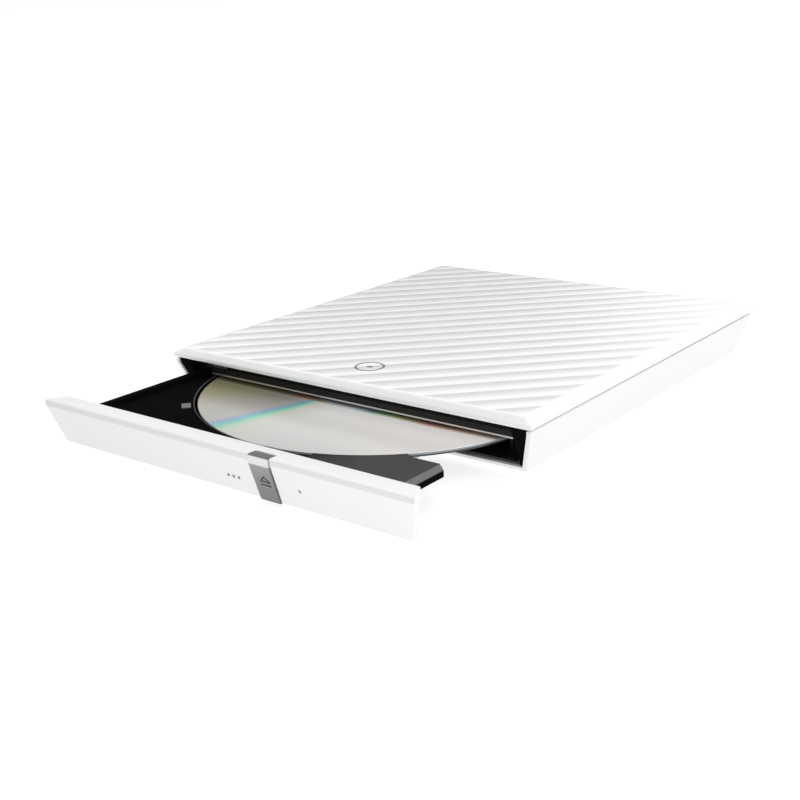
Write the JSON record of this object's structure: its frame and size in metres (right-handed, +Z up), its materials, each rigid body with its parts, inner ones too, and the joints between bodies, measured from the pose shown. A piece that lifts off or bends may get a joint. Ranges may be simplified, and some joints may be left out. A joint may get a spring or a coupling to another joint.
{
  "type": "external optical drive",
  "caption": "Slim portable optical drive with a diagonally ribbed cover and a sliding tray, drawn part way out with a disc on its hub.",
  "frame": {"origin": "centre of the casing's footprint, on the surface its feet stand on", "axes": "+Z up, +X to the right seen from the front, the tray comes out along -Y"},
  "size_m": [0.1424, 0.2092, 0.0195],
  "materials": {
    "black_plastic": "fine-grained black moulded plastic",
    "button_metal": "satin metal finish",
    "chip": "black epoxy",
    "circuit": "green solder mask",
    "clear_stop": "pale nylon",
    "connector": "black nylon with gold contacts",
    "dark_rubber": "matt rubber",
    "disc_plastic": "polycarbonate over a mirror layer",
    "flex": "amber polyimide film",
    "foam": "black foam strip",
    "guide_plastic": "black acetal",
    "lamp": "clear light pipe",
    "lens": "coated lens in a black frame",
    "lid_steel": "black painted steel with a bare cut edge",
    "motor_steel": "drawn steel can",
    "pickup_metal": "cast zinc",
    "rail_steel": "plated steel",
    "rod_steel": "ground steel",
    "screw_steel": "zinc-plated steel",
    "sheet_steel": "plated sheet steel",
    "white_gloss": "glossy white moulded plastic"
  },
  "bodies": {
    "casing": {"bottom_case": "white_gloss", "top_cover": "white_gloss", "rubber_feet": "dark_rubber", "case_screws": "screw_steel", "drive_screws": "screw_steel", "board_screws": "screw_steel", "drive_chassis": "lid_steel", "drive_lid": "lid_steel", "lid_gasket": "foam", "mouth_cheeks": "black_plastic", "latch_post": "rod_steel", "left_guide": "guide_plastic", "right_guide": "guide_plastic", "flex_cable": "flex", "drive_connector": "connector", "bridge_board": "circuit", "board_connector": "connector", "bridge_chips": "chip", "usb_socket": "sheet_steel", "usb_tongue": "connector"},
    "rails": {"left_rail": "rail_steel", "right_rail": "rail_steel"},
    "tray": {"tray": "black_plastic", "tray_underplate": "sheet_steel", "disc_stop": "clear_stop", "front_bezel": "white_gloss", "eject_switch": "connector", "indicator_lenses": "lamp", "spindle_motor": "motor_steel", "traverse_frame": "pickup_metal", "guide_rods": "rod_steel", "sled_motor": "motor_steel", "traverse_plate": "sheet_steel", "main_board": "circuit", "main_board_chips": "chip", "latch_pin": "rod_steel", "latch_solenoid": "motor_steel"},
    "eject_button": {"eject_button": "button_metal"},
    "disc": {"spindle_hub": "black_plastic", "hub_grips": "guide_plastic", "optical_disc": "disc_plastic"},
    "pickup": {"pickup_sled": "pickup_metal", "pickup_lens": "lens"},
    "lead_screw": {"lead_screw": "rod_steel"},
    "latch_hook": {"latch_hook": "guide_plastic"}
  },
  "joints": [
    {"name": "tray_slide", "type": "slide", "parent": "casing", "child": "tray", "axis": [0, -1, 0], "range_m": [-0.047, 0.0857]},
    {"name": "rail_slide", "type": "slide", "parent": "casing", "child": "rails", "axis": [0, -1, 0], "range_m": [-0.0235, 0.04285]},
    {"name": "eject_press", "type": "slide", "parent": "tray", "child": "eject_button", "axis": [0, 1, 0], "range_m": [0, 0.0005], "stiffness_N_per_m": 1200},
    {"name": "disc_spin", "type": "hinge", "parent": "tray", "child": "disc", "pos_m": [0, -0.0524, 0.0082], "axis": [0, 0, 1], "continuous": true},
    {"name": "pickup_travel", "type": "slide", "parent": "tray", "child": "pickup", "axis": [0, -1, 0], "range_m": [0, 0.03]},
    {"name": "lead_screw_spin", "type": "hinge", "parent": "tray", "child": "lead_screw", "pos_m": [0.018, -0.08, 0.0056], "axis": [0, 1, 0], "continuous": true},
    {"name": "latch_turn", "type": "hinge", "parent": "tray", "child": "latch_hook", "pos_m": [0.05, -0.115, 0.0052], "axis": [0, 0, 1], "range_deg": [-9, 0], "stiffness_Nm_per_rad": 0.002}
  ],
  "couplings": [
    {"joint": "rail_slide", "follows": "tray_slide", "ratio": 0.5},
    {"joint": "lead_screw_spin", "follows": "pickup_travel", "rad_per_m": 2094.4}
  ]
}
